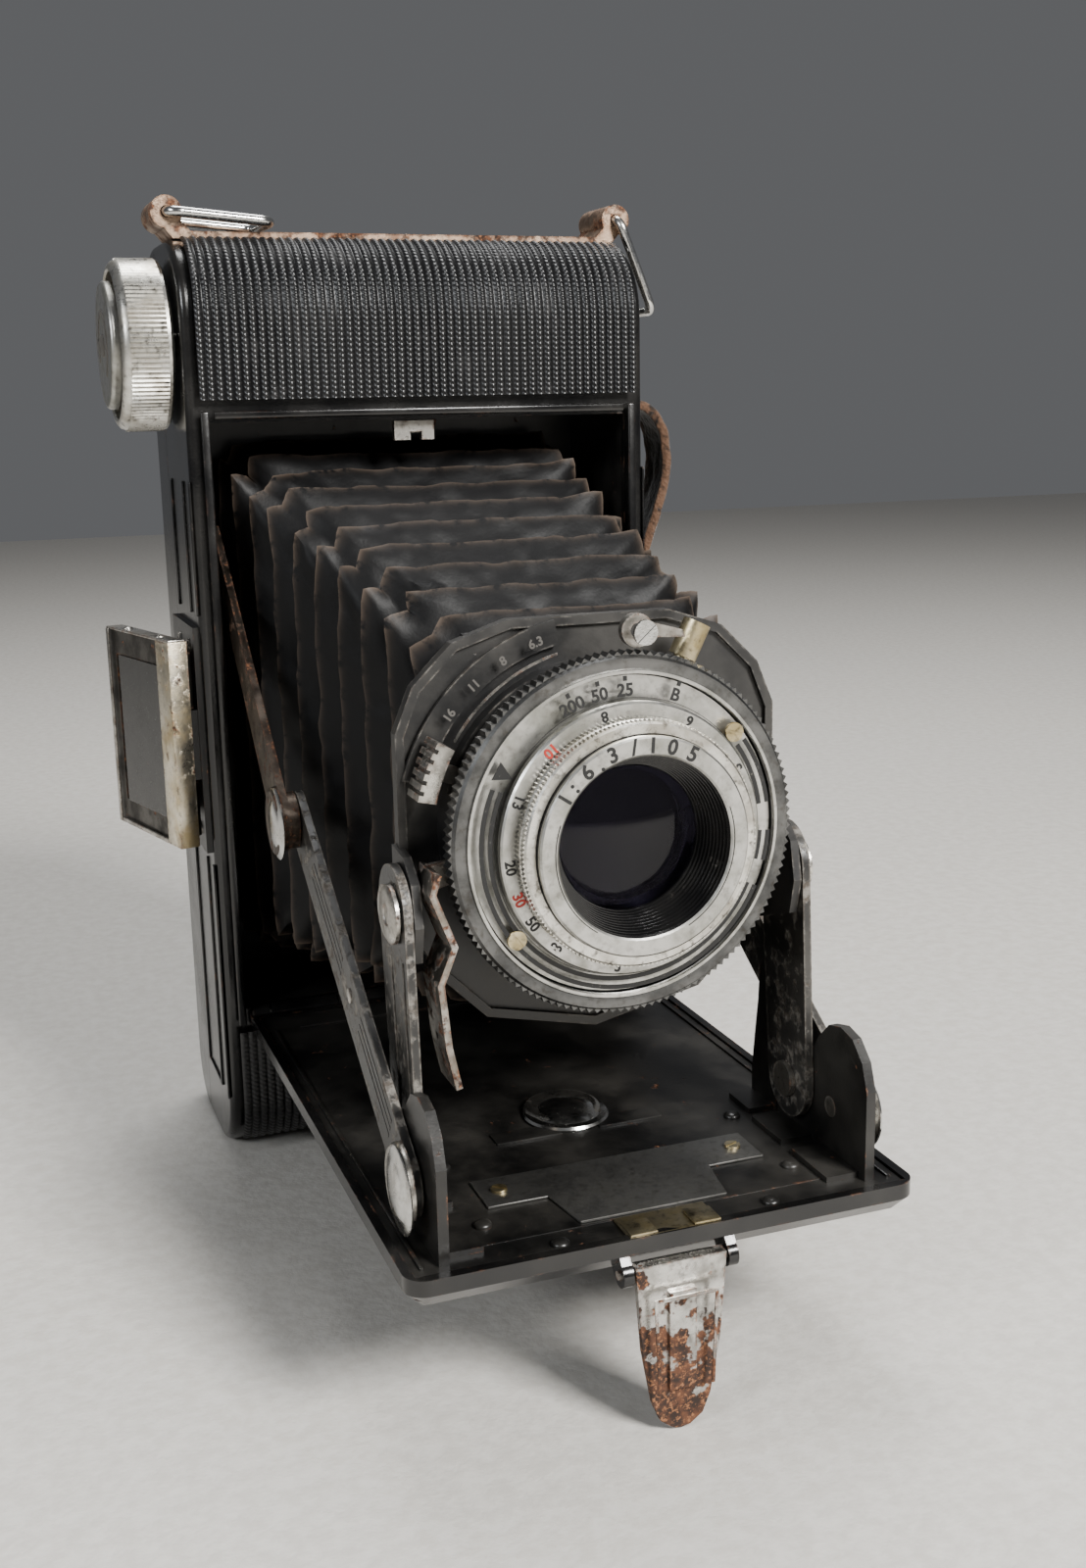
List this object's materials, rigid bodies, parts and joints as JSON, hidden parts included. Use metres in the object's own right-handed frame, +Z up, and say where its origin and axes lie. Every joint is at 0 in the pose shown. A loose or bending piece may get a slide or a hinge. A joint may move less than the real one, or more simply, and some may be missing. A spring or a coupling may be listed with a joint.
{
  "type": "folding camera",
  "caption": "Vertical roll-film folding camera, open on its drop bed, with tapered bellows, leaf shutter and lens on a folding standard, strut linkage, stand, finder and winding knob.",
  "frame": {"origin": "middle of the base, on the surface that the camera stands on", "axes": "+Z up along the body's length, +X to the right seen from the lens side, +Y from the lens to the back"},
  "size_m": [0.1042, 0.1406, 0.1658],
  "materials": {
    "black_enamel": "gloss",
    "frame_black": "satin",
    "leatherette": "satin",
    "leather": "satin",
    "bellows_leather": "satin",
    "steel": "satin",
    "rusted_steel": "rough",
    "chrome": "gloss",
    "aluminium": "satin",
    "black_paint": "satin",
    "brass": "satin",
    "optical_glass": "gloss",
    "red_glass": "gloss"
  },
  "bodies": {
    "body": {"body_shell": "black_enamel", "inner_frame": "frame_black", "body_pins": "steel", "body_leather": "leatherette", "strap_strip": "rusted_steel", "strap_anchor": "steel", "hand_strap": "leather", "finder_base": "black_paint", "bellows": "bellows_leather"},
    "catch": {"bed_catch": "steel"},
    "strap_loop_l": {"strap_loop_left": "chrome"},
    "strap_loop_r": {"strap_loop_right": "chrome"},
    "back": {"back_cover": "black_enamel", "leather_back": "leatherette", "red_window": "red_glass", "window_rails": "black_paint", "pressure_plate": "black_paint"},
    "latch": {"back_latch": "black_paint"},
    "window_slide": {"window_shutter": "black_paint"},
    "winder": {"wind_knob": "aluminium", "wind_knob_cap": "aluminium", "takeup_spool": "steel"},
    "supply": {"supply_spool": "steel"},
    "roller_top": {"guide_roller_top": "steel"},
    "roller_bottom": {"guide_roller_bottom": "steel"},
    "bed": {"bed_panel": "black_enamel", "bed_inner_plate": "frame_black", "bed_leather": "leatherette", "tripod_bush": "chrome", "bed_trim": "steel", "bed_brackets": "black_paint", "bed_pins": "chrome"},
    "stand": {"foot": "chrome"},
    "upper_strut_l": {"upper_strut_left": "rusted_steel"},
    "upper_strut_r": {"upper_strut_right": "rusted_steel"},
    "lower_strut_l": {"lower_strut_left": "steel"},
    "lower_strut_r": {"lower_strut_right": "steel"},
    "link_l": {"standard_link_left": "black_paint"},
    "link_r": {"standard_link_right": "black_paint"},
    "standard": {"lens_standard": "black_paint", "standard_pins": "chrome", "rear_lens_cell": "black_paint", "shutter_case": "black_paint", "aperture_scale": "black_paint", "iris_blades": "black_paint", "shutter_screws": "brass", "scale_plate": "aluminium", "cable_socket": "brass"},
    "iris_lever": {"aperture_lever": "steel"},
    "speed_dial": {"speed_ring": "aluminium"},
    "focus": {"focus_ring": "aluminium", "lens_cone": "black_paint", "name_ring": "aluminium", "front_lens": "optical_glass"},
    "release": {"trigger": "rusted_steel"},
    "cable_lever": {"release_lever": "chrome"},
    "blade_l": {"shutter_blade_left": "black_paint"},
    "blade_r": {"shutter_blade_right": "black_paint"},
    "finder_leaf": {"finder_front": "chrome"},
    "finder_eye": {"finder_rear": "rusted_steel"}
  },
  "joints": [
    {"name": "bed_fold", "type": "hinge", "parent": "body", "child": "bed", "pos_m": [0.00055, 0.0329, 0.0271], "axis": [-1, 0, 0], "range_deg": [0, 90], "deforming": ["bellows"]},
    {"name": "stand_fold", "type": "hinge", "parent": "bed", "child": "stand", "pos_m": [0.00055, -0.0684, 0.0229], "axis": [1, 0, 0], "range_deg": [0, 90]},
    {"name": "upper_strut_turn_l", "type": "hinge", "parent": "body", "child": "upper_strut_l", "pos_m": [-0.03405, 0.0459, 0.1095], "axis": [-1, 0, 0], "range_deg": [-45.86, 0]},
    {"name": "lower_strut_turn_l", "type": "hinge", "parent": "bed", "child": "lower_strut_l", "pos_m": [-0.03125, -0.0556, 0.0343], "axis": [-1, 0, 0], "range_deg": [0, 29.8]},
    {"name": "link_turn_l", "type": "hinge", "parent": "bed", "child": "link_l", "pos_m": [-0.02825, -0.0456, 0.035], "axis": [-1, 0, 0], "range_deg": [0, 68.13]},
    {"name": "upper_strut_turn_r", "type": "hinge", "parent": "body", "child": "upper_strut_r", "pos_m": [0.03515, 0.0459, 0.1095], "axis": [-1, 0, 0], "range_deg": [-45.86, 0]},
    {"name": "lower_strut_turn_r", "type": "hinge", "parent": "bed", "child": "lower_strut_r", "pos_m": [0.03235, -0.0556, 0.0343], "axis": [-1, 0, 0], "range_deg": [0, 29.8]},
    {"name": "link_turn_r", "type": "hinge", "parent": "bed", "child": "link_r", "pos_m": [0.02935, -0.0456, 0.035], "axis": [-1, 0, 0], "range_deg": [0, 68.13]},
    {"name": "standard_turn", "type": "hinge", "parent": "link_l", "child": "standard", "pos_m": [-0.02825, -0.0431, 0.067], "axis": [-1, 0, 0], "range_deg": [-158.13, 0]},
    {"name": "focus_turn", "type": "hinge", "parent": "standard", "child": "focus", "pos_m": [0.00055, -0.0556, 0.0762], "axis": [0, -1, 0], "range_deg": [-67, 230]},
    {"name": "speed_dial_turn", "type": "hinge", "parent": "standard", "child": "speed_dial", "pos_m": [0.00055, -0.0496, 0.0762], "axis": [0, -1, 0], "range_deg": [-8, 38]},
    {"name": "iris_turn", "type": "hinge", "parent": "standard", "child": "iris_lever", "pos_m": [0.00055, -0.0436, 0.0762], "axis": [0, 1, 0], "range_deg": [0, 50]},
    {"name": "release_press", "type": "hinge", "parent": "standard", "child": "release", "pos_m": [0.00055, -0.0461, 0.0762], "axis": [0, -1, 0], "range_deg": [0, 7], "stiffness_Nm_per_rad": 0.02, "springref_deg": -20.05},
    {"name": "cable_lever_turn", "type": "hinge", "parent": "standard", "child": "cable_lever", "pos_m": [0.00295, -0.051, 0.1029], "axis": [0, -1, 0], "range_deg": [0, 8.4]},
    {"name": "blade_l_swing", "type": "hinge", "parent": "standard", "child": "blade_l", "pos_m": [0.00055, -0.0451, 0.0592], "axis": [0, -1, 0], "range_deg": [0, 33]},
    {"name": "blade_r_swing", "type": "hinge", "parent": "standard", "child": "blade_r", "pos_m": [0.00055, -0.0446, 0.0592], "axis": [0, 1, 0], "range_deg": [0, 33]},
    {"name": "finder_leaf_turn", "type": "hinge", "parent": "body", "child": "finder_leaf", "pos_m": [-0.04235, 0.0353, 0.076], "axis": [0, 0, 1], "range_deg": [-15, 75]},
    {"name": "finder_eye_turn", "type": "hinge", "parent": "body", "child": "finder_eye", "pos_m": [-0.04205, 0.0544, 0.076], "axis": [0, 0, -1], "range_deg": [-15, 75]},
    {"name": "back_open", "type": "hinge", "parent": "body", "child": "back", "pos_m": [0.04195, 0.0565, 0.08], "axis": [0, 0, -1], "range_deg": [0, 95]},
    {"name": "latch_slide", "type": "slide", "parent": "back", "child": "latch", "axis": [0, 0, 1], "range_m": [0, 0.004]},
    {"name": "window_open", "type": "slide", "parent": "back", "child": "window_slide", "axis": [1, 0, 0], "range_m": [0, 0.0138]},
    {"name": "wind_turn", "type": "hinge", "parent": "body", "child": "winder", "pos_m": [-0.04345, 0.0479, 0.1422], "axis": [1, 0, 0], "continuous": true},
    {"name": "supply_turn", "type": "hinge", "parent": "body", "child": "supply", "pos_m": [0.00055, 0.0479, 0.0152], "axis": [1, 0, 0], "continuous": true},
    {"name": "roller_top_turn", "type": "hinge", "parent": "body", "child": "roller_top", "pos_m": [0.00055, 0.0584, 0.1331], "axis": [1, 0, 0], "continuous": true},
    {"name": "roller_bottom_turn", "type": "hinge", "parent": "body", "child": "roller_bottom", "pos_m": [0.00055, 0.0584, 0.0249], "axis": [1, 0, 0], "continuous": true},
    {"name": "strap_loop_l_swing", "type": "hinge", "parent": "body", "child": "strap_loop_l", "pos_m": [-0.0392, 0.0482, 0.1632], "axis": [0, -1, 0], "range_deg": [0, 175]},
    {"name": "strap_loop_r_swing", "type": "hinge", "parent": "body", "child": "strap_loop_r", "pos_m": [0.0403, 0.0482, 0.1632], "axis": [0, -1, 0], "range_deg": [0, 250]},
    {"name": "catch_press", "type": "hinge", "parent": "body", "child": "catch", "pos_m": [0.00055, 0.0363, 0.1286], "axis": [1, 0, 0], "range_deg": [0, 12], "stiffness_Nm_per_rad": 0.02, "springref_deg": -20.05}
  ],
  "couplings": [
    {"joint": "upper_strut_turn_l", "follows": "bed_fold", "ratio": -0.5096},
    {"joint": "lower_strut_turn_l", "follows": "bed_fold", "ratio": 0.3311},
    {"joint": "link_turn_l", "follows": "bed_fold", "ratio": 0.757},
    {"joint": "upper_strut_turn_r", "follows": "bed_fold", "ratio": -0.5096},
    {"joint": "lower_strut_turn_r", "follows": "bed_fold", "ratio": 0.3311},
    {"joint": "link_turn_r", "follows": "bed_fold", "ratio": 0.757},
    {"joint": "standard_turn", "follows": "bed_fold", "ratio": -1.757},
    {"joint": "cable_lever_turn", "follows": "release_press", "ratio": 1.2},
    {"joint": "blade_l_swing", "follows": "release_press", "ratio": 4.7143},
    {"joint": "blade_r_swing", "follows": "release_press", "ratio": 4.7143},
    {"joint": "finder_eye_turn", "follows": "finder_leaf_turn", "ratio": 1}
  ]
}
